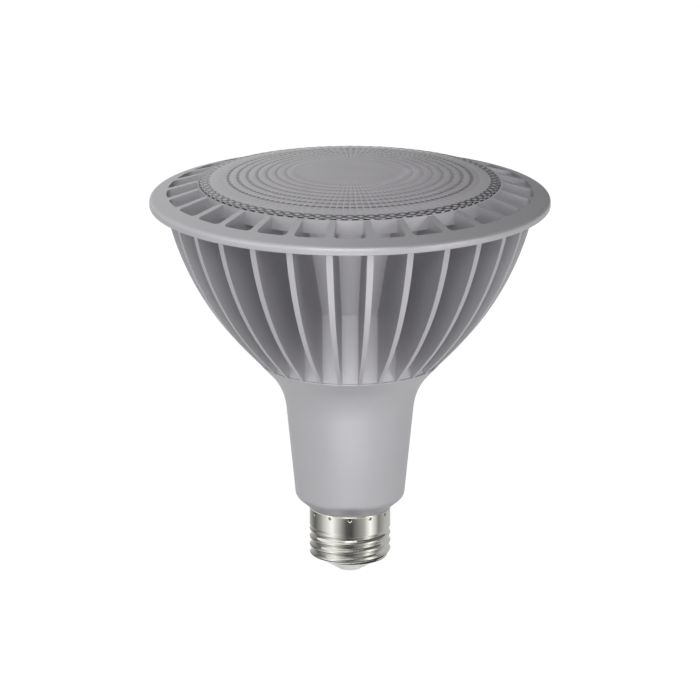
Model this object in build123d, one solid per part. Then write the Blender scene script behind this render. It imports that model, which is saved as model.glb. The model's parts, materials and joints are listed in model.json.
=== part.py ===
from build123d import *
import math
import os

# An LED reflector lamp with a finned casting, a clear patterned lens and a medium screw base.
# Sizes are in millimetres. The origin is the tip of the centre contact, and +Z runs up to the lens.

# Screw base
contact_height = 1.4
contact_radius = 4.0
contact_chamfer = 0.7
insulator_drop = 3.3
insulator_tip_radius = 5.6
insulator_flange_height = 2.1
shell_length = 16.6
shell_radius = 13.1
shell_wall = 0.4
shell_mouth_radius = 10.6
shell_curl_height = 2.2
shell_curl_depth = 1.1
band_length = 4.9
band_step_height = 0.8
band_step_depth = 0.5
washer_thickness = 0.5

# Casting: the outline that the neck, the flare and the fins share
neck_lip = 0.3
neck_lip_round = 0.9
neck_chamfer_height = 3.5
neck_bottom_radius = 17.5
neck_bottom_round = 3.0
neck_length = 40.0
neck_top_radius = 21.1
flare_angle = 43.5
flare_bend_share = 0.57
shoulder_height = 48.7
fin_corner_height = 71.9
fin_bend_share = 0.85
fin_height = 51.05
fin_top_radius = 58.7

# Casting: fins, core, cup and crown
fin_count = 29
fin_thickness = 2.1
front_angle = -90.0
fin_root = 1.0
fin_inset = 0.1
shoulder_ledge = 0.75
core_height = 22.45
cone_height = 30.65
cup_radius = 48.4
cup_wall = 0.65
cup_height = 4.4
cup_overhang = 5.85
rim_overhang = 4.95
rim_lap = 0.5
rim_height = 2.6
rim_top_round = 1.5
rim_under_round = 0.6
vent_rise = 1.55
crown_rise = 3.1
spoke_width = 2.5
spoke_drop = 0.15

# Casting: the driver space and the cup's inside
neck_floor = 3.2
neck_foot_wall = 2.7
neck_wall = 2.3
neck_bore_length = 37.0
core_wall = 3.8
driver_bore_rise = 9.5
spreader_ledge = 1.8
cone_wall = 1.35

# Lens, its seal and the reflector
lens_edge = 2.35
lens_edge_bevel = 0.4
lens_dome = 3.3
lens_proud = 0.75
lens_eye_radius = 17.0
lens_eye_depth = 3.4
lens_web = 2.0
prism_count = 3
prism_height = 1.6
prism_draft = 0.25
seat_thickness = 1.0
seal_width = 1.9
reflector_wall = 1.2
reflector_foot_radius = 14.5
reflector_bend_height = 10.0

# Emitter, its board and the spreader
spreader_thickness = 3.0
spreader_sink = 0.95
pad_inset = 6.0
pad_thickness = 0.4
board_inset = 3.0
led_board_thickness = 1.6
substrate_side = 19.0
substrate_thickness = 1.0
phosphor_radius = 8.2
phosphor_thickness = 0.5

# Driver housing
housing_wall = 1.5
nose_wall = 1.5
collar_rest = 0.5
lid_thickness = 1.0

# Driver board and its parts
driver_board_thickness = 1.6
driver_board_offset = 5.0
driver_board_upper_gap = 2.75
driver_board_step = 46.0
board_edge_gap = 0.5
bulk_radius = 6.25
bulk_height = 20.0
output_radius = 4.0
output_height = 12.0
can_bevel = 0.6
film_size = (7.0, 11.0, 10.0)
bridge_size = (9.0, 7.0, 3.2)
transistor_size = (6.6, 6.2, 2.3)
controller_size = (5.0, 4.0, 1.6)
diode_size = (7.0, 5.6, 2.3)
fuse_radius = 1.8
fuse_height = 8.0
choke_radius = 4.5
choke_height = 10.0
core_size = (20.0, 18.0, 8.0)
core_leg = 5.0
core_yoke = 3.0
core_lift = 3.0
winding_depth = 14.0

# Places of these parts on the board, across from its middle and up from its lower edge
fuse_place = (5.0, 6.0)
bridge_place = (0.0, 16.5)
film_place = (-5.5, 27.5)
choke_place = (5.5, 27.5)
output_place = (-5.0, 39.0)
bulk_place = (-9.5, 53.0)
transformer_place = (8.5, 53.0)
controller_place = (0.0, 18.0)
transistor_place = (0.0, 31.0)
diode_place = (0.0, 42.0)

# Leads
lead_sides = 6
lead_bend_share = 0.45
lead_radius = 0.6
neutral_lead_radius = 0.45
joint_rise = 7.0
line_lead_shift = -2.5
lead_turn_drop = 7.5
led_lead_spacing = 3.2
led_lead_inset = 3.2
led_lead_foot = 2.8
led_joint_drop = 12.0
led_turn_drop = 3.0
lead_notch_width = 6.0
lead_notch_depth = 1.2

# Clearances
plate_clearance = 0.1
lens_clearance = 0.15
liner_clearance = 0.2
nose_clearance = 0.05
winding_clearance = 0.1
reflector_clearance = 0.4
neutral_clearance = 0.05

# Heights up the axis, each one from the lengths above
shell_z = contact_height + insulator_drop
shell_top_z = shell_z + shell_length
neck_z = shell_top_z + washer_thickness
shoulder_z = neck_z + shoulder_height
fin_top_z = shoulder_z + fin_height
kink_z = shoulder_z + core_height
rim_top_z = fin_top_z + rim_height
vent_z = rim_top_z + vent_rise
cup_z = vent_z + crown_rise
flange_z = cup_z - cup_height
cone_top_z = kink_z + cone_height
lens_top_z = cup_z + lens_proud
lens_z = lens_top_z - lens_edge
seat_z = lens_z - seat_thickness
neck_floor_z = neck_z + neck_floor
spreader_z = kink_z - spreader_sink
spreader_top_z = spreader_z + spreader_thickness
led_board_z = spreader_top_z + pad_thickness
emitter_z = led_board_z + led_board_thickness
lid_z = spreader_z - lid_thickness
neck_bore_z = neck_floor_z + neck_bore_length
driver_bore_z = neck_bore_z + driver_bore_rise
housing_floor_z = neck_floor_z + housing_wall
insulator_top_z = shell_z + shell_curl_height + insulator_flange_height
nose_z = insulator_top_z + 2 * (neutral_lead_radius + neutral_clearance)

# Radii that follow from the lengths above
thread_radius = shell_radius - band_step_depth
band_bore_radius = shell_radius - shell_wall
thread_bore_radius = thread_radius - shell_wall
nose_radius = thread_bore_radius - nose_clearance
nose_bore_radius = nose_radius - nose_wall
collar_radius = band_bore_radius - nose_clearance
mouth_bore_radius = collar_radius + liner_clearance
neck_mouth_radius = shell_radius + neck_lip
neck_bore_radius = neck_bottom_radius - neck_foot_wall
neck_bore_top_radius = neck_top_radius - neck_wall
flare_slope = math.tan(math.radians(flare_angle))
shoulder_radius = neck_top_radius + flare_slope * (shoulder_height - neck_length)
fin_corner_radius = neck_top_radius + flare_slope * (fin_corner_height - neck_length)
core_radius = shoulder_radius - shoulder_ledge
driver_bore_radius = core_radius - core_wall
spreader_radius = driver_bore_radius + spreader_ledge
rim_radius = fin_top_radius + rim_overhang
rim_bore_radius = fin_top_radius - rim_lap
recess_radius = cup_radius - cup_wall
lip_radius = cup_radius - cup_wall / 2
lens_radius = recess_radius - lens_clearance
cone_top_radius = cup_radius - cup_overhang
cup_mouth_radius = cone_top_radius - cone_wall
reflector_mouth_radius = cup_mouth_radius - reflector_wall - reflector_clearance
board_radius = spreader_radius - board_inset
pad_radius = board_radius - pad_inset
led_lead_offset = driver_bore_radius - led_lead_inset


def bend_radius(before, here, after, share):
    """The radius of a bend that takes up this share of the shorter run beside it."""
    run_in = Vector(here) - Vector(before)
    run_out = Vector(after) - Vector(here)
    turn = math.radians(run_in.get_angle(run_out))
    return share * min(run_in.length, run_out.length) / math.tan(turn / 2)


def turned(*corners):
    """A solid of revolution from (radius, height, fillet) corners, in order round its section."""
    points = [(radius, height) for radius, height, _ in corners]
    rounds = [size for _, _, size in corners]
    outline = FilletPolyline(*points, radius=rounds, close=True)
    return revolve(Plane.XZ * make_face(outline), Axis.Z)


def disc(radius, z, height, bore=0.0):
    """A round plate from z up, with a bore if one is given."""
    plate = Pos(0, 0, z) * Cylinder(radius, height, align=(Align.CENTER, Align.CENTER, Align.MIN))
    if bore > 0:
        plate -= Pos(0, 0, z) * Cylinder(bore, height, align=(Align.CENTER, Align.CENTER, Align.MIN))
    return plate


def cap(edge, rise):
    """The arc of a spherical cap in section, from its edge to the axis, rise above the edge."""
    radius, z = edge
    ball = (radius**2 + rise**2) / (2 * abs(rise))
    sag = ball - math.sqrt(ball**2 - radius**2 / 4)
    return ThreePointArc(edge, (radius / 2, z + math.copysign(abs(rise) - sag, rise)), (0, z + rise))


def lead(radius, *points):
    """A wire along straight runs joined by arcs, each arc as large as its runs allow."""
    bends = [bend_radius(*corner, lead_bend_share) for corner in zip(points, points[1:], points[2:])]
    end = Plane(origin=points[0], z_dir=Vector(points[1]) - Vector(points[0]))
    return sweep(end * RegularPolygon(radius, lead_sides), path=FilletPolyline(*points, radius=bends))


# The casting
def casting_trunk():
    """Neck, flare, core, cone and cup, hollow for the driver below and the optics above."""
    foot = (neck_bottom_radius, neck_z + neck_chamfer_height)
    flare = (neck_top_radius, neck_z + neck_length)
    shoulder = (shoulder_radius, shoulder_z)
    return turned(
        (mouth_bore_radius, neck_z, 0),
        (neck_mouth_radius, neck_z, neck_lip_round),
        (*foot, neck_bottom_round),
        (*flare, bend_radius(foot, flare, shoulder, flare_bend_share)),
        (*shoulder, 0),
        (core_radius, shoulder_z, 0),
        (core_radius, kink_z, 0),
        (cone_top_radius, cone_top_z, 0),
        (cup_radius, flange_z, 0),
        (cup_radius, cup_z, 0),
        (recess_radius, cup_z, 0),
        (recess_radius, seat_z, 0),
        (cup_mouth_radius, seat_z, 0),
        (spreader_radius, spreader_top_z, 0),
        (spreader_radius, spreader_z, 0),
        (driver_bore_radius, spreader_z, 0),
        (driver_bore_radius, driver_bore_z, 0),
        (neck_bore_top_radius, neck_bore_z, 0),
        (neck_bore_radius, neck_floor_z, 0),
        (mouth_bore_radius, neck_floor_z, 0),
    )


def wedge(outline, angle):
    """A blade on +X with radial sides, the given angle apart in radians, from its outline."""
    half = rim_radius * math.tan(angle / 2)
    sector = make_face(Polyline((0, 0), (rim_radius, half), (rim_radius, -half), close=True))
    blade = extrude(Plane.XZ * make_face(outline), half, both=True)
    return blade & extrude(sector, cup_z)


def fin():
    """One fin on +X: its edge follows the flare's line, and its sides are radial."""
    foot = (shoulder_radius - fin_inset, shoulder_z)
    corner = (fin_corner_radius, neck_z + fin_corner_height)
    top = (fin_top_radius, fin_top_z)
    outline = FilletPolyline(
        (core_radius - fin_root, shoulder_z - fin_root),
        (core_radius - fin_root / 2, shoulder_z - fin_root),
        foot,
        corner,
        top,
        (fin_top_radius, fin_top_z + fin_root),
        (lip_radius, flange_z + fin_root),
        (cone_top_radius - fin_root, cone_top_z),
        (core_radius - fin_root, kink_z),
        radius=[0, 0, 0, bend_radius(foot, corner, top, fin_bend_share), 0, 0, 0, 0, 0],
        close=True,
    )
    return wedge(outline, fin_thickness / fin_top_radius)


def spoke():
    """The wider bar at a fin's top, from the cup to the rim; vents are the gaps between the spokes."""
    outline = Polyline(
        (rim_bore_radius + fin_root, fin_top_z),
        (rim_bore_radius + fin_root, vent_z - fin_root),
        (rim_bore_radius, vent_z - spoke_drop),
        (lip_radius, cup_z - spoke_drop),
        (lip_radius, flange_z + fin_root),
        (cone_top_radius - 2 * fin_root, cone_top_z),
        (cone_top_radius - 2 * fin_root, fin_top_z),
        close=True,
    )
    return wedge(outline, spoke_width / rim_bore_radius)


def rim():
    """The ring that joins the fins' tops, with its sloping face and rounded lip."""
    return turned(
        (rim_bore_radius, vent_z, 0),
        (rim_radius, rim_top_z, rim_top_round),
        (rim_radius, fin_top_z, rim_under_round),
        (rim_bore_radius, fin_top_z, 0),
    )


def heat_sink():
    """One casting: the gaps between the spokes are the vents, and one of them faces the front."""
    blade = fin() + spoke()
    blades = [Rot(0, 0, front_angle + (k + 0.5) * 360 / fin_count) * blade for k in range(fin_count)]
    return casting_trunk().fuse(rim(), *blades)


# Lens, seal and reflector
def lens():
    """Domed clear disc: a bulging eye and rings of prisms below, and a foot that seats on the reflector."""
    foot_inner = reflector_mouth_radius - plate_clearance
    root_z = lens_top_z - lens_web
    tip_z = root_z - prism_height
    pitch = (foot_inner - lens_eye_radius) / prism_count
    teeth = []
    for k in range(prism_count):
        inner = lens_eye_radius + pitch * k
        teeth += [(inner, root_z), (inner + prism_draft, tip_z)]
    dome = cap((lens_radius, lens_top_z), lens_dome)
    eye = cap((lens_eye_radius, root_z), -lens_eye_depth)
    rest = Polyline(
        *teeth, (foot_inner, root_z), (foot_inner, lens_z), (lens_radius, lens_z), (lens_radius, lens_top_z)
    )
    axis = Line((0, lens_top_z + lens_dome), (0, root_z - lens_eye_depth))
    section = make_face([dome, axis, eye, rest])
    edge = section.vertices().sort_by_distance((lens_radius, lens_top_z))[0]
    return revolve(Plane.XZ * chamfer(edge, lens_edge_bevel), Axis.Z)


def lens_seal():
    outer = recess_radius - lens_clearance
    return disc(outer, seat_z, seat_thickness, bore=outer - seal_width)


def reflector():
    """Bright bowl of two cones from the emitter to the lens, with a flange under the lens's foot."""
    middle = (reflector_foot_radius + reflector_mouth_radius) / 2
    bend_z = emitter_z + reflector_bend_height
    flange_radius = recess_radius - lens_clearance - seal_width - plate_clearance
    return turned(
        (reflector_foot_radius, emitter_z, 0),
        (reflector_foot_radius + reflector_wall, emitter_z, 0),
        (middle + reflector_wall, bend_z, 0),
        (reflector_mouth_radius + reflector_wall, seat_z, 0),
        (flange_radius, seat_z, 0),
        (flange_radius, lens_z, 0),
        (reflector_mouth_radius, lens_z, 0),
        (middle, bend_z, 0),
    )


# Emitter, its board and the spreader
def notched(plate):
    """A plate with a notch in its edge, where the emitter's leads come up."""
    box = plate.bounding_box()
    start = led_lead_offset - lead_radius - lead_notch_depth
    notch = Box(lead_notch_width, box.max.Y, box.size.Z, align=(Align.CENTER, Align.MAX, Align.MIN))
    return plate - Pos(0, -start, box.min.Z) * notch


def heat_spreader():
    return notched(disc(spreader_radius - plate_clearance, spreader_z, spreader_thickness))


def thermal_pad():
    return disc(pad_radius, spreader_top_z, pad_thickness)


def led_board():
    return notched(disc(board_radius, led_board_z, led_board_thickness))


def led_substrate():
    return Pos(0, 0, emitter_z) * Box(
        substrate_side, substrate_side, substrate_thickness, align=(Align.CENTER, Align.CENTER, Align.MIN)
    )


def led_phosphor():
    return disc(phosphor_radius, emitter_z + substrate_thickness, phosphor_thickness)


# Driver housing, lid and washer
def driver_housing():
    """Moulded liner that lines the driver space; its nose comes out of the neck and carries the shell."""
    outer = liner_clearance
    inner = liner_clearance + housing_wall
    collar_z = shell_top_z - band_length + collar_rest
    return turned(
        (nose_bore_radius, nose_z, 0),
        (nose_radius, nose_z, 0),
        (nose_radius, collar_z, 0),
        (collar_radius, collar_z, 0),
        (collar_radius, neck_floor_z, 0),
        (neck_bore_radius - outer, neck_floor_z, 0),
        (neck_bore_top_radius - outer, neck_bore_z, 0),
        (driver_bore_radius - outer, driver_bore_z, 0),
        (driver_bore_radius - outer, lid_z, 0),
        (driver_bore_radius - inner, lid_z, 0),
        (driver_bore_radius - inner, driver_bore_z, 0),
        (neck_bore_top_radius - inner, neck_bore_z, 0),
        (neck_bore_radius - inner, housing_floor_z, 0),
        (nose_bore_radius, housing_floor_z, 0),
    )


def housing_lid():
    return notched(disc(driver_bore_radius - liner_clearance, lid_z, lid_thickness))


def insulating_washer():
    return disc(shell_radius, shell_top_z, washer_thickness, bore=collar_radius + nose_clearance)


# Driver board and its parts
front_y = driver_board_thickness / 2 - driver_board_offset
back_y = -driver_board_thickness / 2 - driver_board_offset


def on_front(place):
    """A place on the board's front face, with its own Z pointing away from the board."""
    across, up = place
    return Plane(origin=(across, front_y, housing_floor_z + up), x_dir=(1, 0, 0), z_dir=(0, 1, 0))


def on_back(place):
    """A place on the board's back face, with its own Z pointing away from the board."""
    across, up = place
    return Plane(origin=(across, back_y, housing_floor_z + up), x_dir=(1, 0, 0), z_dir=(0, -1, 0))


def package(size):
    """A moulded block that stands on its place."""
    return Box(*size, align=(Align.CENTER, Align.CENTER, Align.MIN))


def can(radius, height):
    """A can capacitor with a bevelled top."""
    body = disc(radius, 0, height)
    return chamfer(body.edges().group_by(Axis.Z)[-1], can_bevel)


def driver_board():
    bore = neck_bore_radius - liner_clearance - housing_wall
    lower_half = math.sqrt(bore**2 - back_y**2) - board_edge_gap
    upper_bore = driver_bore_radius - liner_clearance - housing_wall
    upper_half = math.sqrt(upper_bore**2 - back_y**2) - driver_board_upper_gap
    length = lid_z - housing_floor_z
    outline = Polyline(
        (-lower_half, 0),
        (lower_half, 0),
        (lower_half, driver_board_step),
        (upper_half, driver_board_step),
        (upper_half, length),
        (-upper_half, length),
        (-upper_half, driver_board_step),
        (-lower_half, driver_board_step),
        close=True,
    )
    sheet = Pos(0, back_y, housing_floor_z) * (Plane.XZ * make_face(outline))
    return extrude(sheet, driver_board_thickness, dir=(0, 1, 0))


def fuse_resistor():
    return on_front(fuse_place) * disc(fuse_radius, 0, fuse_height)


def bridge_rectifier():
    return on_front(bridge_place) * package(bridge_size)


def film_capacitor():
    return on_front(film_place) * package(film_size)


def filter_choke():
    return on_front(choke_place) * disc(choke_radius, 0, choke_height)


def transformer_core():
    """Ferrite frame with a middle leg."""
    width, height, depth = core_size
    window_width = (width - core_leg - 2 * core_yoke) / 2
    window = Box(window_width, height - 2 * core_yoke, depth)
    shift = (core_leg + window_width) / 2
    frame = Box(width, height, depth) - [Pos(side * shift, 0, 0) * window for side in (-1, 1)]
    return on_front(transformer_place) * Pos(0, 0, core_lift + depth / 2) * frame


def transformer_winding():
    """The wound bobbin round the core's middle leg."""
    width, height, depth = core_size
    gap = winding_clearance
    coil_width = width - 2 * core_yoke - 2 * gap
    coil_height = height - 2 * core_yoke - 2 * gap
    coil = package((coil_width, coil_height, winding_depth))
    passage = Pos(0, 0, core_lift + depth / 2) * Box(core_leg + 2 * gap, height, depth + 2 * gap)
    return on_front(transformer_place) * (coil - passage)


def bulk_capacitor():
    return on_front(bulk_place) * can(bulk_radius, bulk_height)


def output_capacitor():
    return on_front(output_place) * can(output_radius, output_height)


def controller_chip():
    return on_back(controller_place) * package(controller_size)


def power_transistor():
    return on_back(transistor_place) * package(transistor_size)


def output_diode():
    return on_back(diode_place) * package(diode_size)


def line_lead():
    """From the board down the nose and through the insulator to the centre contact."""
    y = front_y + lead_radius
    return lead(
        lead_radius,
        (line_lead_shift, y, housing_floor_z + joint_rise),
        (line_lead_shift, y, neck_z),
        (0, 0, neck_z - lead_turn_drop),
        (0, 0, contact_height),
    )


def neutral_lead():
    """From the board down the nose, then out under its end to the shell."""
    y = back_y - neutral_lead_radius
    run_y = neutral_lead_radius + board_edge_gap - nose_bore_radius
    foot_z = insulator_top_z + neutral_clearance + neutral_lead_radius
    return lead(
        neutral_lead_radius,
        (0, y, housing_floor_z + joint_rise),
        (0, y, neck_z),
        (0, run_y, neck_z - lead_turn_drop),
        (0, run_y, foot_z),
        (0, neutral_clearance - thread_bore_radius, foot_z),
    )


def led_lead(side):
    """From the board's back up past the lid and the plates to a pad on the emitter's board."""
    x = side * led_lead_spacing / 2
    foot_z = emitter_z + lead_radius
    return lead(
        lead_radius,
        (x, back_y - lead_radius, lid_z - led_joint_drop),
        (x, -led_lead_offset, lid_z - led_turn_drop),
        (x, -led_lead_offset, foot_z),
        (x, led_lead_foot - led_lead_offset, foot_z),
    )


# Screw base
def screw_shell():
    """Rolled sheet: a plain band, then the narrower stretch that carries the thread, curled in below."""
    band_z = shell_top_z - band_length
    step_z = band_z - band_step_height
    lip_z = shell_z + shell_wall
    return turned(
        (shell_mouth_radius, shell_z, 0),
        (thread_radius - shell_curl_depth, shell_z, 0),
        (thread_radius, shell_z + shell_curl_height, 0),
        (thread_radius, step_z, 0),
        (shell_radius, band_z, 0),
        (shell_radius, shell_top_z, 0),
        (band_bore_radius, shell_top_z, 0),
        (band_bore_radius, band_z, 0),
        (thread_bore_radius, step_z, 0),
        (thread_bore_radius, shell_z + shell_curl_height, 0),
        (thread_bore_radius - shell_curl_depth, lip_z, 0),
        (shell_mouth_radius, lip_z, 0),
    )


def base_insulator():
    """Pale cone at the bottom of the base; its flange is held inside the shell by the curled lip."""
    flange_z = shell_z + shell_curl_height
    flange_radius = thread_bore_radius - nose_clearance
    neck_radius = shell_mouth_radius - nose_clearance
    hole = lead_radius + nose_clearance
    return turned(
        (hole, contact_height, 0),
        (insulator_tip_radius, contact_height, 0),
        (neck_radius, shell_z, 0),
        (neck_radius, flange_z, 0),
        (flange_radius, flange_z, 0),
        (flange_radius, insulator_top_z, 0),
        (hole, insulator_top_z, 0),
    )


def centre_contact():
    return turned(
        (0, 0, 0),
        (contact_radius - contact_chamfer, 0, 0),
        (contact_radius, contact_chamfer, 0),
        (contact_radius, contact_height, 0),
        (0, contact_height, 0),
    )


nodes = {
    "heat_sink": heat_sink(),
    "lens": lens(),
    "lens_seal": lens_seal(),
    "reflector": reflector(),
    "heat_spreader": heat_spreader(),
    "thermal_pad": thermal_pad(),
    "led_board": led_board(),
    "led_substrate": led_substrate(),
    "led_phosphor": led_phosphor(),
    "driver_housing": driver_housing(),
    "housing_lid": housing_lid(),
    "insulating_washer": insulating_washer(),
    "driver_board": driver_board(),
    "fuse_resistor": fuse_resistor(),
    "bridge_rectifier": bridge_rectifier(),
    "film_capacitor": film_capacitor(),
    "filter_choke": filter_choke(),
    "transformer_core": transformer_core(),
    "transformer_winding": transformer_winding(),
    "bulk_capacitor": bulk_capacitor(),
    "output_capacitor": output_capacitor(),
    "power_transistor": power_transistor(),
    "controller_chip": controller_chip(),
    "output_diode": output_diode(),
    "line_lead": line_lead(),
    "neutral_lead": neutral_lead(),
    "led_lead_negative": led_lead(-1),
    "led_lead_positive": led_lead(1),
    "screw_shell": screw_shell(),
    "base_insulator": base_insulator(),
    "centre_contact": centre_contact(),
}

os.makedirs("parts", exist_ok=True)
for name, shape in nodes.items():
    export_step(shape, f"parts/{name}.step")
    print(name, "volume", round(shape.volume, 1))
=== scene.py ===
# %% [markdown]
# # A finned reflector lamp, dressed in Blender
# The lamp stands on its screw base with the lens up. Its solids come packed in one frame, in
# metres, and every piece made here is built in that same frame, so nothing is moved to fit.
# The frame is loaded first, because the sizes below are measured on it.

# %% Load the frame
import json
import math

import bmesh
import bpy
import numpy as np
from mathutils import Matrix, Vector


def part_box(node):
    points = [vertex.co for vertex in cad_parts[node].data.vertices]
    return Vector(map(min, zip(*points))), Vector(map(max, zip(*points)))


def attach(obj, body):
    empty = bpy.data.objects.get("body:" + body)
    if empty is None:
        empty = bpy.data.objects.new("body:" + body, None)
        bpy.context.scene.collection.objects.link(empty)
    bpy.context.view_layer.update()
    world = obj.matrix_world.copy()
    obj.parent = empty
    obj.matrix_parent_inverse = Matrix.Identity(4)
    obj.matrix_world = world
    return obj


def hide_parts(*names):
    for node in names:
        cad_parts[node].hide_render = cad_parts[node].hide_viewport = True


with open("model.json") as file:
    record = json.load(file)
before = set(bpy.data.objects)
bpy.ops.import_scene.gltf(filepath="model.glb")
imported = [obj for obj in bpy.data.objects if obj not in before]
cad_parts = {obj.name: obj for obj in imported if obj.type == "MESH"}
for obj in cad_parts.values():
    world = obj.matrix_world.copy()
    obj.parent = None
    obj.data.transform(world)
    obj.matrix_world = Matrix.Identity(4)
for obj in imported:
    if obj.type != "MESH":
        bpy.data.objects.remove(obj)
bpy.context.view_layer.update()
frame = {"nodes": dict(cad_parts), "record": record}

print("solids in the frame:", len(frame["nodes"]))

# %% [markdown]
# ## Sizes
# Each piece of this lamp was turned or moulded about one axis, so a radius and two heights place
# it. They are read from the frame where the frame shows them. Sizes inside a piece, such as the
# height of a bend, are named where that piece is made.

# %% Measure the turned pieces
mm = 0.001


def turned_size(node):
    """Radius, lowest height and highest height of a piece turned about the axis."""
    low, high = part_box(node)
    return high.x, low.z, high.z


rim_radius, neck_z, cup_z = turned_size("heat_sink")
lens_radius, lens_low_z, lens_high_z = turned_size("lens")
shell_radius, shell_z, shell_top_z = turned_size("screw_shell")
flange_radius, _, lens_seat_z = turned_size("reflector")
_, spreader_z, spreader_top_z = turned_size("heat_spreader")
print(f"rim {2 * rim_radius / mm:.1f} mm across, lamp {lens_high_z / mm:.1f} mm long")

# %% [markdown]
# ## Outlines and meshes of revolution
# A designer draws half a section and turns it about the axis. The same is done here: an outline
# is a list of corners, each with the radius of its round, and a grid of points is wrapped round
# the axis. The grid may vary with the angle, which later gives threads, pits and pillows, and its
# points can carry marks, such as a tone, that a finish reads.

# %% Draw outlines with rounded corners
def rounded(corners, steps=8):
    """Points of a closed outline from (x, y, radius) corners, with an arc at each rounded one."""
    points = []
    for k, (x, y, radius) in enumerate(corners):
        corner = np.array([x, y])
        if radius == 0:
            points.append(corner)
            continue
        to_last = np.array(corners[k - 1][:2]) - corner
        to_next = np.array(corners[(k + 1) % len(corners)][:2]) - corner
        to_last /= np.linalg.norm(to_last)
        to_next /= np.linalg.norm(to_next)
        half = math.acos(to_last @ to_next) / 2
        middle = (to_last + to_next) / np.linalg.norm(to_last + to_next)
        centre = corner + middle * radius / math.sin(half)
        first = corner + to_last * radius / math.tan(half) - centre
        last = corner + to_next * radius / math.tan(half) - centre
        start = math.atan2(first[1], first[0])
        turn = math.remainder(math.atan2(last[1], last[0]) - start, 2 * math.pi)
        for share in np.linspace(0, 1, steps + 1):
            angle = start + turn * share
            points.append(centre + radius * np.array([math.cos(angle), math.sin(angle)]))
    return np.array(points)


# %% Make pieces from points and faces
same_point = 1e-7
no_length = 1e-8


def make_piece(name, points, faces, **marks):
    """A mesh object with its faces turned outward, points on the axis merged and marks on its points."""
    mesh = bpy.data.meshes.new(name)
    mesh.from_pydata(points, [], faces)
    for mark, values in marks.items():
        mesh.attributes.new(mark, "FLOAT", "POINT").data.foreach_set("value", values.ravel())
    shape = bmesh.new()
    shape.from_mesh(mesh)
    bmesh.ops.remove_doubles(shape, verts=shape.verts, dist=same_point)
    bmesh.ops.dissolve_degenerate(shape, edges=shape.edges, dist=no_length)
    bmesh.ops.recalc_face_normals(shape, faces=shape.faces)
    shape.to_mesh(mesh)
    shape.free()
    piece = bpy.data.objects.new(name, mesh)
    bpy.context.scene.collection.objects.link(piece)
    return piece


def polar(radius, angle, height):
    """A point round the axis, with the angle counted from the front towards +X."""
    return radius * np.sin(angle), -radius * np.cos(angle), height


print("the front is towards y =", polar(1, 0, 0)[1])


# %% Wrap a grid of points round the axis
def wrapped(name, radius, height, closed=True, **marks):
    """A mesh round the axis: a row for each outline point, a column for each angle."""
    rows, columns = radius.shape
    angle = np.arange(columns) * 2 * math.pi / columns
    points = np.stack(np.broadcast_arrays(*polar(radius, angle, height)), axis=-1)
    here = np.arange(rows * columns).reshape(rows, columns)
    right = np.roll(here, -1, axis=1)
    corners = [here, right, np.roll(right, -1, axis=0), np.roll(here, -1, axis=0)]
    faces = np.stack(corners, axis=-1)
    if not closed:
        faces = faces[:-1]
    return make_piece(name, points.reshape(-1, 3).tolist(), faces.reshape(-1, 4).tolist(), **marks)


def turned(name, outline, steps, closed=True):
    """A mesh of revolution from an outline of (radius, height) points."""
    ones = np.ones((1, steps))
    return wrapped(name, outline[:, :1] * ones, outline[:, 1:] * ones, closed)


# %% Shade a piece and put it in the place of a solid
def smooth(piece, angle):
    """Smooth shading that keeps every edge sharper than the angle, in degrees."""
    piece.data.shade_smooth()
    piece.data.set_sharp_from_angle(angle=math.radians(angle))


def stand_for(piece, node):
    """Put a finished piece in the place of a solid of the frame."""
    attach(piece, "root")
    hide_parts(node)
    print(piece.name, "stands for", node, "with", len(piece.data.polygons), "faces")


# %% [markdown]
# ## The casting
# The body is one aluminium die casting: a tapered neck, a flare, a round core, a cone up to the
# lens cup, 29 fins and a crown ring with a vent between each pair of fins. It could be modelled
# face by face, but a foundry's way is easier to read: a turned trunk, a turned crown with the
# vents cut out of it, and the fins, all joined by Boolean modifiers. The solid in the frame has
# crisp edges, so this copy adds the small rounds that catch the light on a real casting.

# %% Sizes of the trunk
fin_count = 29
pitch = 2 * math.pi / fin_count
steps_round = 12 * fin_count

neck_mouth_radius = shell_radius + 0.3 * mm
neck_mouth_bore = shell_radius - 0.25 * mm
neck_edge_round = 0.9 * mm
neck_foot_radius = 17.5 * mm
neck_foot_z = neck_z + 3.5 * mm
neck_foot_round = 3.0 * mm
neck_top_radius = 21.1 * mm
neck_top_z = neck_z + 40.0 * mm
flare_round = 20.0 * mm
flare_slope = math.tan(math.radians(43.5))
shoulder_z = neck_z + 48.7 * mm
shoulder_radius = neck_top_radius + flare_slope * (shoulder_z - neck_top_z)
shoulder_round = 0.3 * mm
core_radius = shoulder_radius - 0.75 * mm
kink_z = shoulder_z + 22.45 * mm
cup_radius = 48.4 * mm
cup_wall = 0.65 * mm
flange_z = cup_z - 4.4 * mm
cone_top_radius = cup_radius - 5.85 * mm
cone_top_z = kink_z + 30.65 * mm
seat_z = lens_seat_z - 1.0 * mm
cup_mouth_radius = cone_top_radius - 1.35 * mm
spreader_radius = core_radius - 2.0 * mm
driver_bore_radius = spreader_radius - 1.8 * mm
driver_bore_z = neck_z + 49.7 * mm
neck_bore_top_radius = neck_top_radius - 2.3 * mm
neck_bore_top_z = neck_z + 40.2 * mm
neck_bore_radius = neck_foot_radius - 2.7 * mm
neck_floor_z = neck_z + 3.2 * mm
print(f"shoulder {2 * shoulder_radius / mm:.1f} mm across, core {2 * core_radius / mm:.1f} mm")

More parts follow.
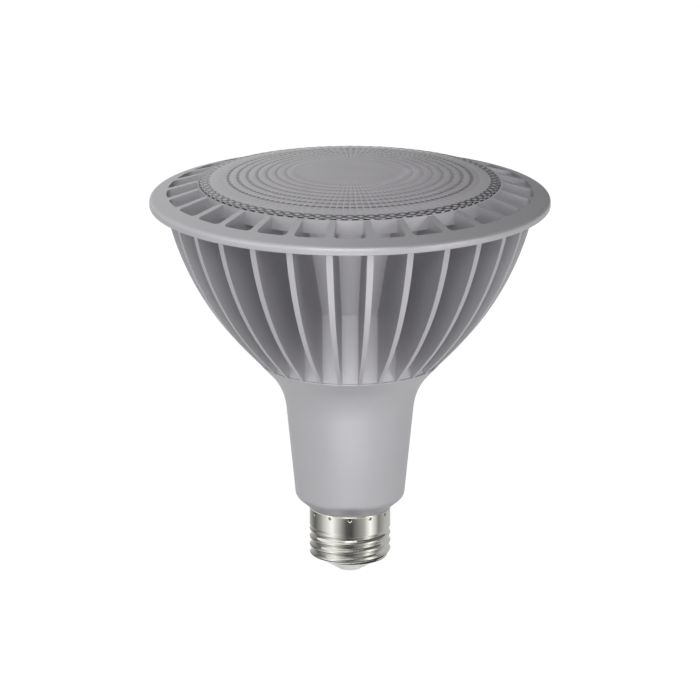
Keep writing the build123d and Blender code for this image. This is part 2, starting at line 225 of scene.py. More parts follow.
# %% Turn the trunk
trunk_outline = rounded(
    [
        (neck_mouth_bore, neck_z, 0),
        (neck_mouth_radius, neck_z, neck_edge_round),
        (neck_foot_radius, neck_foot_z, neck_foot_round),
        (neck_top_radius, neck_top_z, flare_round),
        (shoulder_radius, shoulder_z, shoulder_round),
        (core_radius, shoulder_z, 0),
        (core_radius, kink_z, 0),
        (cone_top_radius, cone_top_z, 0),
        (cup_radius, flange_z, 0),
        (cup_radius, cup_z, 0),
        (cup_radius - cup_wall, cup_z, 0),
        (cup_radius - cup_wall, seat_z, 0),
        (cup_mouth_radius, seat_z, 0),
        (spreader_radius, spreader_top_z, 0),
        (spreader_radius, spreader_z, 0),
        (driver_bore_radius, spreader_z, 0),
        (driver_bore_radius, driver_bore_z, 0),
        (neck_bore_top_radius, neck_bore_top_z, 0),
        (neck_bore_radius, neck_floor_z, 0),
        (neck_mouth_bore, neck_floor_z, 0),
    ]
)
trunk = turned("casting", trunk_outline, steps_round)
print("trunk points:", len(trunk.data.vertices))

# %% Turn the crown ring with its rounded lip
vent_z = cup_z - 3.1 * mm
rim_top_z = vent_z - 1.55 * mm
fin_top_z = rim_top_z - 2.6 * mm
fin_top_radius = 58.7 * mm
rim_bore_radius = fin_top_radius - 0.5 * mm
overlap = 1.0 * mm
crown_drop = 0.1 * mm
lip_top_round = 1.5 * mm
lip_under_round = 0.6 * mm
crown_bend = 6.0 * mm
cup_lip_radius = cup_radius - cup_wall / 2

crown_outline = rounded(
    [
        (cup_lip_radius, cup_z - crown_drop, 0),
        (rim_bore_radius, vent_z, crown_bend),
        (rim_radius, rim_top_z, lip_top_round),
        (rim_radius, fin_top_z, lip_under_round),
        (cone_top_radius - 2 * overlap, fin_top_z, 0),
        (cone_top_radius - 2 * overlap, cone_top_z, 0),
        (cup_lip_radius, flange_z + overlap, 0),
    ]
)
crown = turned("crown", crown_outline, steps_round)
print("crown points:", len(crown.data.vertices))

# %% Make the blocks that cut the vents
spoke_width = 2.5 * mm
spoke_angle = spoke_width / rim_bore_radius
vent_corner_round = 1.4 * mm

vent_slope = math.tan((pitch - spoke_angle) / 2)
vent_inner = cone_top_radius - 3 * overlap
vent_outer = rim_bore_radius * math.cos((pitch - spoke_angle) / 2)
vent_outline = rounded(
    [
        (vent_inner, -vent_inner * vent_slope, 0),
        (vent_outer, -vent_outer * vent_slope, vent_corner_round),
        (rim_bore_radius, 0, 0),
        (vent_outer, vent_outer * vent_slope, vent_corner_round),
        (vent_inner, vent_inner * vent_slope, 0),
    ]
)
vent_points = []
vent_faces = []
for k in range(fin_count):
    first = len(vent_points)
    count = len(vent_outline)
    across = np.arctan2(vent_outline[:, 1], vent_outline[:, 0]) + k * pitch
    out = np.hypot(vent_outline[:, 0], vent_outline[:, 1])
    for height in (fin_top_z - overlap, cup_z + overlap):
        vent_points += list(zip(*polar(out, across, np.full(count, height))))
    vent_faces += [list(range(first, first + count)), list(range(first + count, first + 2 * count))]
    for j in range(count):
        after = (j + 1) % count
        vent_faces.append([first + j, first + after, first + count + after, first + count + j])
vents = make_piece("vents", vent_points, vent_faces)
print("vents:", fin_count, "with corners of", round(vent_corner_round / mm, 1), "mm")

# %% Draw the outline of a fin
fin_corner_z = neck_z + 71.9 * mm
fin_corner_radius = neck_top_radius + flare_slope * (fin_corner_z - neck_top_z)
fin_bend = 95.0 * mm
fin_bend_steps = 24
fin_inset = 0.1 * mm

fin_outline = rounded(
    [
        (core_radius - overlap, shoulder_z - overlap, 0),
        (core_radius - overlap / 2, shoulder_z - overlap, 0),
        (shoulder_radius - fin_inset, shoulder_z, 0),
        (fin_corner_radius, fin_corner_z, fin_bend),
        (fin_top_radius, fin_top_z, 0),
        (fin_top_radius, fin_top_z + overlap, 0),
        (cup_lip_radius, flange_z + overlap, 0),
        (cone_top_radius - overlap, cone_top_z, 0),
        (core_radius - overlap, kink_z, 0),
    ],
    steps=fin_bend_steps,
)
print("points round a fin:", len(fin_outline))

# %% Build the fins and round their outer edges
fin_width = 2.1 * mm
fin_angle = fin_width / fin_top_radius
fin_edge_round = 0.3 * mm
fin_round_steps = 5
outer_first, outer_end = 2, -3

fin_shape = bmesh.new()
outer_edges = []
for k in range(fin_count):
    middle = (k + 0.5) * pitch
    sides = []
    for angle in (middle - fin_angle / 2, middle + fin_angle / 2):
        sides.append([fin_shape.verts.new(polar(r, angle, z)) for r, z in fin_outline])
    fin_shape.faces.new(sides[0])
    fin_shape.faces.new(sides[1][::-1])
    for j in range(len(fin_outline)):
        after = (j + 1) % len(fin_outline)
        fin_shape.faces.new([sides[0][j], sides[0][after], sides[1][after], sides[1][j]])
    for side in sides:
        outer = side[outer_first:outer_end]
        for one, two in zip(outer, outer[1:]):
            outer_edges.append(fin_shape.edges.get((one, two)))
bmesh.ops.bevel(
    fin_shape,
    geom=outer_edges,
    offset=fin_edge_round,
    segments=fin_round_steps,
    profile=0.5,
    affect="EDGES",
)
bmesh.ops.recalc_face_normals(fin_shape, faces=fin_shape.faces)
fin_mesh = bpy.data.meshes.new("fins")
fin_shape.to_mesh(fin_mesh)
fin_shape.free()
fins = bpy.data.objects.new("fins", fin_mesh)
bpy.context.scene.collection.objects.link(fins)
print("fin faces:", len(fin_mesh.polygons))


# %% Join trunk, crown and fins into one casting
def combine(base, other, operation):
    """Join or cut two closed meshes, keep the result on the base and delete the other."""
    step = base.modifiers.new(operation, "BOOLEAN")
    step.operation = operation
    step.solver = "MANIFOLD"
    step.object = other
    seen = base.evaluated_get(bpy.context.evaluated_depsgraph_get())
    result = bpy.data.meshes.new_from_object(seen)
    base.modifiers.clear()
    base.data = result
    bpy.data.objects.remove(other)


combine(crown, vents, "DIFFERENCE")
combine(trunk, crown, "UNION")
combine(trunk, fins, "UNION")
casting = trunk
casting.data.name = "casting"
# joining can leave doubled faces along the seams, and validate takes them out
mended = casting.data.validate()
print("casting needed mending:", mended)
casting_crease = 20
smooth(casting, casting_crease)
even = casting.modifiers.new("flat faces stay flat", "WEIGHTED_NORMAL")
even.keep_sharp = True
stand_for(casting, "heat_sink")

# %% [markdown]
# ## The lens
# One clear acrylic moulding closes the cup. Its outside is a shallow dome with a smooth round eye,
# rings of small pillows round it and a net of diamonds at the edge, which break up the beam. Below
# it has the bulge of the eye, three ring prisms and a foot. Bump could fake the pillows, but clear
# plastic shows its front and back together, so all of it is real geometry: one grid of rings,
# whose heights are worked out ring by ring. Each point also carries a tone, which the finish turns
# into painted shade and painted highlights on the lens's colour.

# %% Start the lens with its smooth eye
columns_each_fin = 24
lens_columns = columns_each_fin * fin_count
lens_angle = np.arange(lens_columns) * 2 * math.pi / lens_columns
lens_rows = []
plain_tone = 0.76


def lens_ring(radius, height, tone=plain_tone):
    """Add one ring of points; radius, height and tone, from 0 painted shade to 1 painted highlight, may
    vary round it.
    """
    even_ring = np.ones(lens_columns)
    lens_rows.append((radius * even_ring, height * even_ring, tone * even_ring))


dome_rise = 3.65 * mm
lens_edge_z = lens_high_z - dome_rise
dome_ball = (lens_radius**2 + dome_rise**2) / (2 * dome_rise)
eye_radius = 17.0 * mm
eye_rings = 8


def dome(radius):
    """Height of the outside at a radius: a cap of a large ball."""
    return lens_high_z - dome_ball + math.sqrt(dome_ball**2 - radius**2)


for radius in np.linspace(0, eye_radius, eye_rings, endpoint=False):
    lens_ring(radius, dome(radius))
print("eye", 2 * eye_radius / mm, "mm across, ball of", round(dome_ball / mm), "mm")

# %% Rings of pillows and a plain band
pillow_count = 4 * fin_count
pillow_rings = 8
pillow_steps = 6
pillow_rise = 0.09 * mm
rib_rise = 0.05 * mm
rib_width = 1 / 6
# painted highlight along each rib, and painted shade as a dash in each valley between pillow rings
painted_highlight_tone = 1.0
painted_shade_tone = 0.0
dash_width = 0.2
band_radius = 41.4 * mm
band_tone = 0.9
net_radius = 44.4 * mm


def between(first, second, share):
    """A number part of the way from one to the other."""
    return first + (second - first) * share


along = np.mod(pillow_count * lens_angle / (2 * math.pi), 1)
ribs = rib_rise * (1 - 4 * along * (1 - along))
on_rib = np.clip(1 - np.minimum(along, 1 - along) / rib_width, 0, 1)
for step in range(pillow_rings * pillow_steps):
    outward = step / (pillow_rings * pillow_steps)
    radius = between(eye_radius, band_radius, outward)
    out = step % pillow_steps / pillow_steps
    # painted shade in the valleys and painted highlight on the ribs, both stronger towards the edge
    valley = between(plain_tone, painted_shade_tone, outward) if out < dash_width else plain_tone
    tone = between(valley, between(plain_tone, painted_highlight_tone, outward), on_rib)
    lens_ring(radius, dome(radius) - ribs - pillow_rise * (1 - 4 * out * (1 - out)), tone)
for radius in (band_radius, net_radius):
    lens_ring(radius, dome(radius) - ribs, band_tone)
print("pillows:", pillow_rings * pillow_count)

# %% The net of diamonds at the edge
net_count = 3 * fin_count
net_rows = 2
net_steps = 10
net_rise = 0.06 * mm
# painted shade along the net's diamond lines and painted highlight in its cells
net_painted_tones = (0.0, 1.0)
edge_bevel = 0.2 * mm
net_edge_radius = lens_radius - edge_bevel

cross = net_count * lens_angle / 2
for step in range(1, net_steps + 1):
    out = step / net_steps
    radius = between(net_radius, net_edge_radius, out)
    lean = math.pi * net_rows * out / 2
    diamond = np.abs(np.sin(cross + lean) * np.sin(cross - lean))
    tone = between(*net_painted_tones, diamond)
    lens_ring(radius, dome(radius) - net_rise * (1 - diamond), tone)
print("net cells:", net_rows * net_count)

# %% The edge, the foot and the underside
flute_depth = 0.2 * mm
flute_narrowing = 4
# tones for painted shade in the flutes of the edge and painted glints between them
edge_painted_tones = (0.0, 1.0)
glint_start = 0.75
glint_rise = 0.2
web = 2.0 * mm
foot_inset = 6.1 * mm
foot_radius = flange_radius - foot_inset
prism_count = 3
prism_height = 1.6 * mm
prism_draft = 0.25 * mm
lens_crease = 10
under_z = lens_edge_z - web

flutes = flute_depth * np.abs(np.sin(cross)) ** flute_narrowing
# painted glints on the edge between the flutes, and painted shade in the flutes
painted_glint_mask = np.clip((np.abs(np.cos(cross)) - glint_start) / glint_rise, 0, 1)
painted_glints = between(*edge_painted_tones, painted_glint_mask)
lens_ring(lens_radius - flutes, lens_edge_z - edge_bevel, painted_glints)
lens_ring(lens_radius - flutes, lens_seat_z, painted_glints)
lens_ring(foot_radius, lens_seat_z)
lens_ring(foot_radius, under_z)
prism_pitch = (foot_radius - eye_radius) / prism_count
for k in reversed(range(prism_count)):
    inner = eye_radius + prism_pitch * k
    lens_ring(inner + prism_draft, under_z - prism_height)
    lens_ring(inner, under_z)
for radius in np.linspace(eye_radius, 0, eye_rings)[1:]:
    lens_ring(radius, under_z - (under_z - lens_low_z) * (1 - (radius / eye_radius) ** 2))

lens_radii, lens_heights, lens_tones = (np.array(rows) for rows in zip(*lens_rows))
lens = wrapped("clear_lens", lens_radii, lens_heights, tone=lens_tones)
smooth(lens, lens_crease)
stand_for(lens, "lens")

# %% [markdown]
# ## The screw shell
# The base is a sleeve of thin sheet, rolled so that a round thread stands out of it, with a plain
# band above and its lower end curled in over the insulator. Twelve staking pits hold it on the
# plastic nose inside. A screw modifier would give the helix but not the run-out under the band,
# so the radius is worked out point by point from the height and the angle.

# %% Roll the thread
shell_columns = 456
shell_rows = 132
thread_pitch = 2.70 * mm
thread_crest_z = 11.82 * mm
thread_depth = 0.95 * mm
thread_fullness = 0.75
thread_run_out = (14.2 * mm, 15.5 * mm)
curl_height = 1.5 * mm
curl_depth = 1.1 * mm
top_round = 0.12 * mm


def ease(value, low, high):
    """A smooth step from 0 at low to 1 at high."""
    share = np.clip((value - low) / (high - low), 0, 1)
    return share * share * (3 - 2 * share)


shell_angle = np.arange(shell_columns) * 2 * math.pi / shell_columns
shell_height = np.linspace(shell_z, shell_top_z, shell_rows)[:, None]
wave = np.cos(2 * math.pi * (shell_height - thread_crest_z) / thread_pitch - shell_angle)
thread = (0.5 + 0.5 * wave) ** thread_fullness
band = ease(shell_height, *thread_run_out)
outside = shell_radius - thread_depth * (1 - thread) * (1 - band)
curl = np.clip(1 - (shell_height - shell_z) / curl_height, 0, 1)
outside = outside - curl_depth * curl**2
top = np.clip(1 - (shell_top_z - shell_height) / top_round, 0, 1)
outside = outside - top_round * top**2
print(f"thread {thread_depth / mm:.2f} mm deep, from radius {outside.min() / mm:.2f} mm outward")

# %% Punch the staking pits
pit_count = 12
pit_drop = 1.05 * mm
pit_radius = 0.58 * mm
pit_flat = 0.25
pit_depth = 0.45 * mm
pit_rim_share = 0.25

pit_turn = 2 * math.pi / pit_count
pit_across = (np.mod(shell_angle + pit_turn / 2, pit_turn) - pit_turn / 2) * shell_radius
pit_distance = np.hypot(pit_across, shell_height - (shell_top_z - pit_drop))
pits = pit_depth * (1 - ease(pit_distance, pit_flat * pit_radius, pit_radius))
# mark for the painted shade of the pits: 1 deep in a pit, falling to 0 at its rim
in_pit = np.clip(pits / (pit_rim_share * pit_depth), 0, 1)
print("pits:", pit_count, "with points inside them:", int((in_pit > 0).sum()))

# %% Close the sleeve with its inside and its curled mouth
sheet = 0.4 * mm
mouth_inset = 3.7 * mm
mouth_radius = shell_radius - mouth_inset
inside_step = 4
shell_crease = 50

even_shell = np.ones((1, shell_columns))
mouth = mouth_radius * even_shell
inside = (outside - sheet)[::-inside_step][:-1]
inside_height = (shell_height * even_shell)[::-inside_step][:-1]
shell_radii = np.concatenate([mouth, outside - pits, inside, mouth])
shell_heights = np.concatenate(
    [shell_z * even_shell, shell_height * even_shell, inside_height, (shell_z + sheet) * even_shell]
)
pit_share = np.concatenate([0 * mouth, in_pit, 0 * inside, 0 * mouth])
shell = wrapped("rolled_shell", shell_radii, shell_heights, pit=pit_share)
smooth(shell, shell_crease)
stand_for(shell, "screw_shell")

# %% [markdown]
# ## The centre contact
# A tinned rivet closes the pale insulator at the tip, with a drop of solder over the end of the
# live lead. It is small, so one turned outline with soft corners is enough.

# %% Turn the centre contact
contact_radius, contact_z, contact_top_z = turned_size("centre_contact")
solder_radius = 1.4 * mm
solder_height = 0.2 * mm
solder_flare = 0.3 * mm
solder_round = 0.3 * mm
solder_foot_round = 0.1 * mm
rivet_face_z = contact_z + 0.26 * mm
contact_round = 0.4 * mm
contact_steps = 96
contact_crease = 40

contact_outline = rounded(
    [
        (0, contact_z, 0),
        (solder_radius, contact_z, solder_round),
        (solder_radius + solder_flare, contact_z + solder_height, solder_foot_round),
        (contact_radius, rivet_face_z, contact_round),
        (contact_radius, contact_top_z, 0),
        (0, contact_top_z, 0),
    ]
)
contact = turned("tinned_contact", contact_outline, contact_steps)
smooth(contact, contact_crease)
stand_for(contact, "centre_contact")

# %% [markdown]
# ## Shader maths as Python
# Every finish below is a small recipe of nodes. Wiring nodes by hand hides the recipe, so one
# class wraps a node's output and turns Python's operators into Math nodes, and one method adds
# any other node. What varies over a surface goes to colour, roughness or bump alone.

# %% Wrap sockets so that they can be added and multiplied
class Value:
    """A number that varies over a surface: the output of a node in a recipe."""

    def __init__(self, recipe, socket):
        self.recipe = recipe
        self.socket = socket

    def math(self, operation, first, second):
        return self.recipe.node("Math", {"operation": operation}, {0: first, 1: second})

    def __add__(self, other):
        return self.math("ADD", self, other)

    __radd__ = __add__

    def __mul__(self, other):
        return self.math("MULTIPLY", self, other)

    __rmul__ = __mul__

    def __sub__(self, other):
        return self.math("SUBTRACT", self, other)

    def __rsub__(self, other):
        return self.math("SUBTRACT", other, self)


# %% Recipes of nodes, for materials and for the room
class Recipe:
    """The nodes of a material or of the world, added one by one."""

    def __init__(self, owner):
        owner.use_nodes = True
        self.owner = owner
        self.tree = owner.node_tree

    def feed(self, socket, value):
        """Set a socket to a number or colour, or link it to a value."""
        if isinstance(value, Value):
            self.tree.links.new(value.socket, socket)
        else:
            socket.default_value = value

    def node(self, kind, settings, sockets, output=0):
        """Add a node, set it up, feed its sockets and hand back one of its outputs."""
        made = self.tree.nodes.new("ShaderNode" + kind)
        for name, setting in settings.items():
            if name == "stops":
                set_stops(made.color_ramp, setting)
            else:
                setattr(made, name, setting)
        for name, value in sockets.items():
            self.feed(made.inputs[name], value)
        return Value(self, made.outputs[output])

    def ray(self, kind):
        """1 for rays of one kind, such as Camera or Glossy, and 0 for the others."""
        return self.node("LightPath", {}, {}, f"Is {kind} Ray")


# %% Set the stops of a ramp
def set_stops(ramp, stops):
    """Give a colour ramp its (place, grey) stops."""
    while len(ramp.elements) > 1:
        ramp.elements.remove(ramp.elements[-1])
    for k, (place, grey) in enumerate(stops):
        stop = ramp.elements.new(place) if k else ramp.elements[0]
        stop.position = place
        stop.color = (grey, grey, grey, 1)


# %% Finishes, which are recipes with one shader
class Finish(Recipe):
    """A material with one Principled shader."""

    def __init__(self, name, **fixed):
        super().__init__(bpy.data.materials.new(name))
        self.shader = self.tree.nodes["Principled BSDF"]
        self.wear(**fixed)

    def wear(self, **looks):
        """Feed sockets of the shader, with _ for each space in a socket's name."""
        for socket, value in looks.items():
            self.feed(self.shader.inputs[socket.replace("_", " ")], value)

    def place(self):
        """Where a point is on the object, in metres."""
        return self.node("TexCoord", {}, {}, "Object")

    def noise(self, size, detail=3.0, where=None):
        """Soft noise from 0 to 1 with blotches of about this size."""
        sockets = {"Vector": where or self.place(), "Scale": 1 / size, "Detail": detail}
        return self.node("TexNoise", {}, sockets)

    def blend(self, factor, first, second):
        """A colour between two others; a Mix node's colour sockets are its 7th and 8th."""
        first, second = (end if isinstance(end, Value) else (*end, 1) for end in (first, second))
        sockets = {0: factor, 6: first, 7: second}
        return self.node("Mix", {"data_type": "RGBA"}, sockets, 2)

    def bump(self, height, depth):
        """Tilt the surface by a height from 0 to 1 that stands for this many metres."""
        self.wear(Normal=self.node("Bump", {}, {"Height": height, "Distance": depth}))


def dress(piece, finish):
    """Give a piece one finish."""
    piece.data.materials.clear()
    piece.data.materials.append(finish.owner)


# %% [markdown]
# ## Finish of the casting
# The casting is sprayed with a satin silver-grey paint. Close up such paint has a fine grain from
# its metal flake and a faint cloudiness from the gun. Single flakes could be drawn as cells, but
# none can be told apart from here, so two noises do: a fine one for roughness and bump, and a wide
# one for the colour. Both are kept small.

# %% Spray the casting
paint = Finish("satin silver paint", Metallic=0.6)
grain = paint.noise(0.35 * mm)
cloud = paint.noise(14 * mm)
paint.wear(
    Base_Color=paint.blend(cloud, (0.50, 0.492, 0.515), (0.53, 0.521, 0.545)),
    Roughness=0.44 + 0.08 * grain,
)
paint.bump(grain, 0.01 * mm)
dress(casting, paint)
print("casting finish:", paint.owner.name)

# %% [markdown]
# ## Finish of the nickel shell and the contact
# Bright nickel is a mirror with a warm tint. Rolling leaves faint lines round the sleeve, which
# only its roughness shows, so a noise that is stretched round the axis makes them. The pits are
# given painted shade, a near-black colour, and the mark on the shell's points says where. Tin is
# duller and uneven where it ran.

# %% Plate the shell and tin the contact
stretch_round = (0.03, 0.03, 1.0)
nickel = Finish("bright nickel plate", Metallic=1.0)
rolled = {"Vector": nickel.place(), "Scale": stretch_round}
along_lines = nickel.node("Mapping", {"vector_type": "POINT"}, rolled)
lines = nickel.noise(0.25 * mm, 4.0, along_lines)
stain = nickel.noise(5 * mm)
plate = nickel.blend(stain, (0.70, 0.69, 0.64), (0.76, 0.75, 0.70))
# painted shade: the plate's colour turns near black inside the staking pits
pit_painted_shade = nickel.node("Attribute", {"attribute_name": "pit"}, {}, "Fac")
nickel.wear(
    Base_Color=nickel.blend(pit_painted_shade, plate, (0.05, 0.05, 0.045)),
    Roughness=0.07 + 0.08 * lines,
)
dress(shell, nickel)

tin = Finish("dull tin", Metallic=0.3)
dimple = tin.noise(0.7 * mm)
tin.wear(
    Base_Color=tin.blend(dimple, (0.84, 0.84, 0.83), (0.90, 0.90, 0.90)),
    Roughness=0.38 + 0.15 * dimple,
)
tin.bump(dimple, 0.05 * mm)
dress(contact, tin)
print("plated:", shell.name, contact.name)

# %% [markdown]
# ## Finish of the lens and the reflector
# The lens is clear acrylic with a satin haze from the mould. Its ribs catch the light and its
# grooves swallow it, finer than a render can follow, so the tone that each point carries paints
# that light and shade into the colour as painted highlights and painted shade. What is seen
# through it is the metallised bowl, which is a soft metal and not a mirror.

# %% Clear the lens and metallise the reflector
# the colour runs from painted shade, near black, to the clear colour, whose top end is painted highlight
painted_shade_colour = (0.01, 0.01, 0.01)
clear_and_highlight_colour = (0.97, 0.94, 1.0)
haze_swing = 0.06
acrylic = Finish("clear acrylic", Transmission_Weight=0.4, IOR=1.49)
haze = acrylic.noise(9 * mm)
# the tone of painted light and shade that the lens's points carry
painted_light_tone = acrylic.node("Attribute", {"attribute_name": "tone"}, {}, "Fac")
acrylic.wear(
    Base_Color=acrylic.blend(painted_light_tone + haze_swing * (haze - 0.5), painted_shade_colour, clear_and_highlight_colour),
    Roughness=0.08 + 0.05 * haze,
)
dress(lens, acrylic)

satin = Finish("metallised bowl", Metallic=1.0)
ripple = satin.noise(2.5 * mm)
satin.wear(
    Base_Color=satin.blend(ripple, (0.36, 0.36, 0.37), (0.44, 0.44, 0.45)),
    Roughness=0.45 + 0.10 * ripple,
)
satin.bump(ripple, 0.06 * mm)
dress(frame["nodes"]["reflector"], satin)
print("optics:", acrylic.owner.name, "over", satin.owner.name)

# %% [markdown]
# ## Finishes of the pieces that keep their solids
# The washer and everything inside already have their right shape in the frame. They are rubber,
# plastic, ceramic, ferrite and tape, so one plain colour each would look dead. One function makes
# a finish from the slot's own colour, a roughness and the size of a grain.

# %% Describe a moulded, coated or machined finish
speck_shade = 0.88
speck_roughness = 0.12
speck_depth = 0.04


def moulded(name, colour, roughness, grain_size, metallic=0.0):
    """A finish for a moulded, coated or machined piece, with a fine grain of its own."""
    finish = Finish(name, Metallic=metallic)
    speck = finish.noise(grain_size)
    darker = tuple(speck_shade * part for part in colour)
    finish.wear(
        Base_Color=finish.blend(speck, darker, colour),
        Roughness=roughness + speck_roughness * speck,
    )
    finish.bump(speck, speck_depth * grain_size)
    return finish


# %% Finish the other pieces
# each slot has its roughness, the size of its grain and how metallic it is
slot_finishes = {
    "seal_rubber": (0.55, 0.5 * mm, 0.0),
    "spreader_aluminium": (0.30, 0.6 * mm, 1.0),
    "pad_silicone": (0.60, 0.5 * mm, 0.0),
    "board_white": (0.35, 0.8 * mm, 0.0),
    "emitter_ceramic": (0.45, 0.3 * mm, 0.0),
    "emitter_phosphor": (0.30, 0.4 * mm, 0.0),
    "liner_plastic": (0.40, 0.8 * mm, 0.0),
    "washer_plastic": (0.45, 0.4 * mm, 0.0),
    "board_green": (0.35, 0.9 * mm, 0.0),
    "package_black": (0.45, 0.3 * mm, 0.0),
    "fuse_coating": (0.35, 0.4 * mm, 0.0),
    "film_yellow": (0.25, 0.6 * mm, 0.0),
    "choke_sleeve": (0.35, 0.5 * mm, 0.0),
    "ferrite": (0.55, 0.2 * mm, 0.0),
    "winding_tape": (0.20, 0.9 * mm, 0.0),
    "can_sleeve": (0.22, 0.8 * mm, 0.0),
    "lead_black": (0.35, 0.3 * mm, 0.0),
    "lead_white": (0.35, 0.3 * mm, 0.0),
    "lead_red": (0.35, 0.3 * mm, 0.0),
}
slot_made = {}
for material in frame["record"]["materials"]:
    slot = material["slot"]
    if slot in slot_finishes:
        colour = tuple(material["base_color"][:3])
        slot_made[slot] = moulded(slot.replace("_", " "), colour, *slot_finishes[slot])
for part in frame["record"]["subparts"]:
    if part["material_slot"] in slot_made:
        dress(frame["nodes"][part["node"]], slot_made[part["material_slot"]])
print("other finishes:", len(slot_made))

# %% [markdown]
# ## Finish of the insulator
# The pale cone at the bottom is pressed from opal glass. It is nearly white all through, with a
# faint milky unevenness and a glossy skin, so a plain white with a low roughness is enough.

# %% Press the insulator
opal = Finish("opal glass", IOR=1.5)
milk = opal.noise(3 * mm)
opal.wear(
    Base_Color=opal.blend(milk, (0.94, 0.94, 0.94), (0.98, 0.98, 0.98)),
    Roughness=0.20 + 0.10 * milk,
)
dress(frame["nodes"]["base_insulator"], opal)
print("insulator finish:", opal.owner.name)

# %% [markdown]
# ## Floor and room
# The lamp stands on a plain pale floor in a white room. The camera sees both as white, and a share
# of the floor stays plain paint, which keeps a soft shadow. Reflections see the floor a little
# greyer, and the room light on the left and dark on the right, as with a window on one side.

# %% Lay the floor
floor_half = 4.0
floor_glow = 1.09
floor_share = 0.9
floor_mirrored = 0.6
floor_corners = [(-1, -1), (1, -1), (1, 1), (-1, 1)]
floor_points = [(x * floor_half, y * floor_half, 0) for x, y in floor_corners]
floor = make_piece("floor", floor_points, [(0, 1, 2, 3)])
pale = Finish("pale floor", Base_Color=(0.9, 0.9, 0.9, 1), Roughness=0.9, Specular_IOR_Level=0.0)
white_to = pale.ray("Camera") + floor_mirrored * (pale.ray("Glossy") + pale.ray("Transmission"))
glow = pale.node("Emission", {}, {"Strength": floor_glow})
paint_of_floor = Value(pale, pale.shader.outputs["BSDF"])
mixed = pale.node("MixShader", {}, {0: floor_share * white_to, 1: paint_of_floor, 2: glow})
pale.feed(pale.tree.nodes["Material Output"].inputs["Surface"], mixed)
dress(floor, pale)
print("floor", 2 * floor_half, "m wide, at height", 0)

# %% Light the room
room_fill = 0.35
room_glow = 1.2
room_tones = [(-1.0, 1.15), (-0.15, 0.95), (0.0, 0.45), (0.1, 0.15), (1.0, 0.15)]
room = Recipe(bpy.data.worlds.new("white room"))
bpy.context.scene.world = room.owner
direction = room.node("TexCoord", {}, {}, "Generated")
to_right = room.node("SeparateXYZ", {}, {"Vector": direction}, "X")
room_stops = [(0.5 + 0.5 * side, tone / room_glow) for side, tone in room_tones]
shade = room_glow * room.node("ValToRGB", {"stops": room_stops}, {"Fac": 0.5 + 0.5 * to_right})
straight = room.ray("Camera")
mirrored = room.ray("Glossy") + room.ray("Transmission")
level = straight + shade * mirrored + room_fill * (1 - straight - mirrored)
background = room.tree.nodes["Background"]
room.feed(background.inputs["Color"], (1, 1, 1, 1))
room.feed(background.inputs["Strength"], level)
print("room fill", room_fill)

# %% [markdown]
# ## Lamps
# A wide soft box high in front is the main light. Two low ones at the sides brighten the outer
# fins, and a weak one at the lamp's own height reaches into the gaps between the fins in front.
# All are far larger than the lamp, so that no shadow is hard.

# %% Place the soft boxes
lamp_middle = Vector((0, 0, 70 * mm))
box_distance = 1.5


def softbox(name, side, height, size, watts):
    """A soft rectangular light, placed by its angles from the front and from the floor, in degrees."""
    light = bpy.data.lights.new(name, "AREA")
    light.shape = "RECTANGLE"
    light.size, light.size_y = size
    light.energy = watts
    flat = box_distance * math.cos(math.radians(height))
    rise = box_distance * math.sin(math.radians(height))
    away = Vector(polar(flat, math.radians(side), rise))
    box = bpy.data.objects.new(name, light)
    box.location = lamp_middle + away
    box.rotation_euler = (-away).to_track_quat("-Z", "Y").to_euler()
    bpy.context.scene.collection.objects.link(box)


softbox("key soft box", side=0, height=32, size=(0.9, 0.5), watts=6.4)
softbox("left soft box", side=-60, height=14, size=(0.5, 0.6), watts=1.8)
softbox("right soft box", side=55, height=8, size=(0.5, 0.3), watts=3.5)
softbox("front soft box", side=0, height=4, size=(0.5, 0.25), watts=1.5)

# %% [markdown]
# ## A tent for the nickel
# Bright nickel in an all-white room would look like white plastic. A photographer puts a small
# tent of light and dark cards round such a base, out of sight. Here it is a cylinder that only
# reflections see, with a ramp round it for the tones of the cards, and a dark ring on the floor
# below the thread. A white card on the floor in front draws the bright stripe down the neck.

# %% Make cards that only reflections see
def hang_card(card, **looks):
    """Keep a card out of every view but reflections, and give it a finish of its own."""
    name = card.name.replace("_", " ")
    finish = Finish(name, Base_Color=(0, 0, 0, 1), Specular_IOR_Level=0.0, **looks)
    dress(card, finish)
    for ray in ("camera", "diffuse", "transmission", "volume_scatter", "shadow"):
        setattr(card, "visible_" + ray, False)
    return finish


# %% Put up the tent
tent_radius = 20 * mm
tent_z = 0.5 * mm
tent_top_z = 18.6 * mm
tent_steps = 96
tent_glow = 1.4
# angles from the front in degrees, and the tone of the card there
tent_tones = [
    (-180, 0.08), (-138, 1.2), (-119, 0.55), (-83, 0.14), (-64, 0.4), (-36, 1.3), (-25, 0.75),
    (-15, 0.34), (-7, 0.11), (3, 0.08), (10, 0.2), (27, 0.48), (41, 1.35), (61, 0.27),
    (85, 0.57), (119, 0.6), (138, 1.2), (180, 0.08),
]

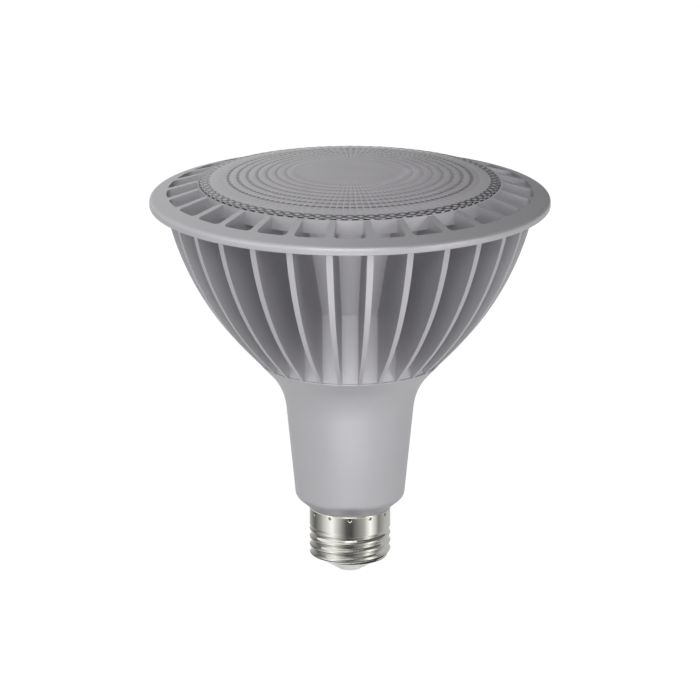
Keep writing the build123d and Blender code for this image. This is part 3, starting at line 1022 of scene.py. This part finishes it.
wall_outline = np.array([(tent_radius, tent_z), (tent_radius, tent_top_z)])
wall = turned("tent", wall_outline, tent_steps, closed=False)
cards = hang_card(wall, Emission_Strength=tent_glow)
to_x = cards.node("SeparateXYZ", {}, {"Vector": cards.place()}, "X")
to_y = cards.node("SeparateXYZ", {}, {"Vector": cards.place()}, "Y")
turn = cards.node("Math", {"operation": "ARCTAN2"}, {0: to_x, 1: 0 - to_y})
stops = [(degrees / 360 + 0.5, tone / tent_glow) for degrees, tone in tent_tones]
round_share = turn * (0.5 / math.pi) + 0.5
cards.wear(Emission_Color=cards.node("ValToRGB", {"stops": stops}, {"Fac": round_share}))
print("tones round the tent:", len(tent_tones))

# %% Lay the dark mat and the white card
white = (1, 1, 1, 1)
mat_radius = 17.5 * mm
mat_bore = 10 * mm
mat_tone = 0.06
card_reach = (95 * mm, 220 * mm)
card_half_angle = 30
card_steps = 12
card_z = 1.0 * mm
card_tone = 1.7

mat_outline = np.array([(mat_bore, tent_z), (mat_radius, tent_z)])
mat = turned("dark_mat", mat_outline, tent_steps, closed=False)
hang_card(mat, Emission_Strength=mat_tone, Emission_Color=white)

card_angles = np.radians(np.linspace(-card_half_angle, card_half_angle, card_steps + 1))
card_points = [polar(far, angle, card_z) for angle in card_angles for far in card_reach]
card_faces = [(2 * k, 2 * k + 1, 2 * k + 3, 2 * k + 2) for k in range(card_steps)]
white_card = make_piece("white_card", card_points, card_faces)
hang_card(white_card, Emission_Strength=card_tone, Emission_Color=white)
print("mat and card lie at", tent_z / mm, "and", card_z / mm, "mm")

# %% [markdown]
# ## Camera
# The view is a long lens from a little above, as for a catalogue. The distance was settled by how
# much nearer fins look larger than far ones, and the lens by the lamp's height in the picture.

# %% Set up the camera
picture_width = 700
focal_pixels = 4665
sensor_width = 36.0
camera_distance = 1494 * mm
camera_rise = math.radians(16.15)
camera_target = Vector((0, 0, 73.46 * mm))
camera_data = bpy.data.cameras.new("camera")
camera_data.sensor_width = sensor_width
camera_data.lens = sensor_width * focal_pixels / picture_width
camera = bpy.data.objects.new("camera", camera_data)
away = Vector((0, -math.cos(camera_rise), math.sin(camera_rise)))
camera.location = camera_target + camera_distance * away
camera.rotation_euler = (-away).to_track_quat("-Z", "Y").to_euler()
bpy.context.scene.collection.objects.link(camera)
bpy.context.scene.camera = camera
bpy.context.scene.view_settings.view_transform = "Standard"
print("camera at", [round(x, 3) for x in camera.location])
